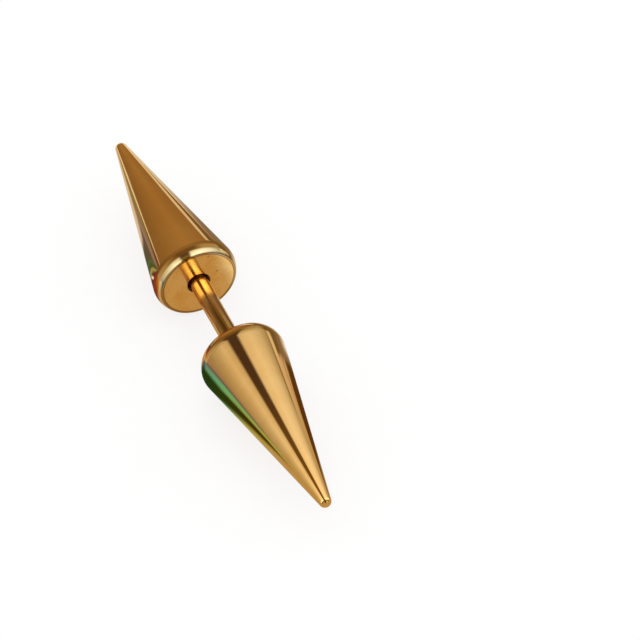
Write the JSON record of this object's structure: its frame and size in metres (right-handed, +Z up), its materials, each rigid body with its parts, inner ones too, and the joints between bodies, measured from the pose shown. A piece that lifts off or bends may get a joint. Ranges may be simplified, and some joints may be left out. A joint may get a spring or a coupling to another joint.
{
  "type": "spike stud earring",
  "caption": "Straight spike stud earring: a slim post between long tapered spikes with rounded shoulders and flat bases. The back spike unscrews to let the post through a lobe.",
  "frame": {"origin": "middle of the bare post, on the axis, where the ear lobe sits", "axes": "+Y along the post towards the back spike, -Y towards the front spike, +Z up with the earring lying on its shoulders"},
  "size_m": [0.005, 0.0308, 0.005],
  "materials": {
    "spike_gold": "gold-coloured plating on steel, mirror polished on the tapers and satin on the flat bases",
    "post_gold": "gold-coloured plating on steel, drawn bar with fine lengthwise streaks"
  },
  "bodies": {
    "stud": {"front_spike": "spike_gold", "post": "post_gold"},
    "screw_back": {"back_spike": "spike_gold"}
  },
  "joints": [
    {"name": "unscrew", "type": "slide", "parent": "stud", "child": "screw_back", "axis": [0, 1, 0], "range_m": [0, 0.012]}
  ]
}
